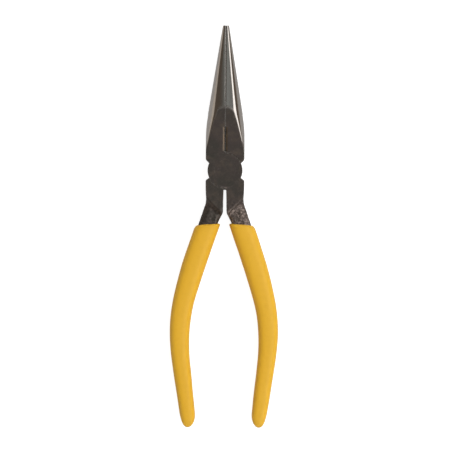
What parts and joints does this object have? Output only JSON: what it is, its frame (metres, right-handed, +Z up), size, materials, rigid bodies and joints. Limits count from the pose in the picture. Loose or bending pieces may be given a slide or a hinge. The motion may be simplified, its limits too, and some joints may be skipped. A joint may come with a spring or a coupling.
{
  "type": "needle nose pliers",
  "caption": "Long tapered nose pliers with side-cutting knives, a riveted lap joint and dipped soft grips.",
  "frame": {"origin": "on the axis of the pivot, at the underside of the joint, on which the pliers lie flat", "axes": "+Y along the tool towards the jaw tips, +Z up through the joint's thickness, X across the tool"},
  "size_m": [0.0582, 0.216, 0.012],
  "materials": {
    "black_steel": "forged steel with a thin black oxide skin, ground bright on the nose",
    "rivet_steel": "ground flush and blackened with the joint",
    "yellow_vinyl": "satin dipped vinyl"
  },
  "bodies": {
    "left_half": {"left_jaw_half": "black_steel", "right_grip": "yellow_vinyl", "pivot_rivet": "rivet_steel"},
    "right_half": {"right_jaw_half": "black_steel", "left_grip": "yellow_vinyl"}
  },
  "joints": [
    {"name": "pivot", "type": "hinge", "parent": "left_half", "child": "right_half", "pos_m": [0, 0, 0.006], "axis": [0, 0, -1], "range_deg": [0, 48]}
  ]
}
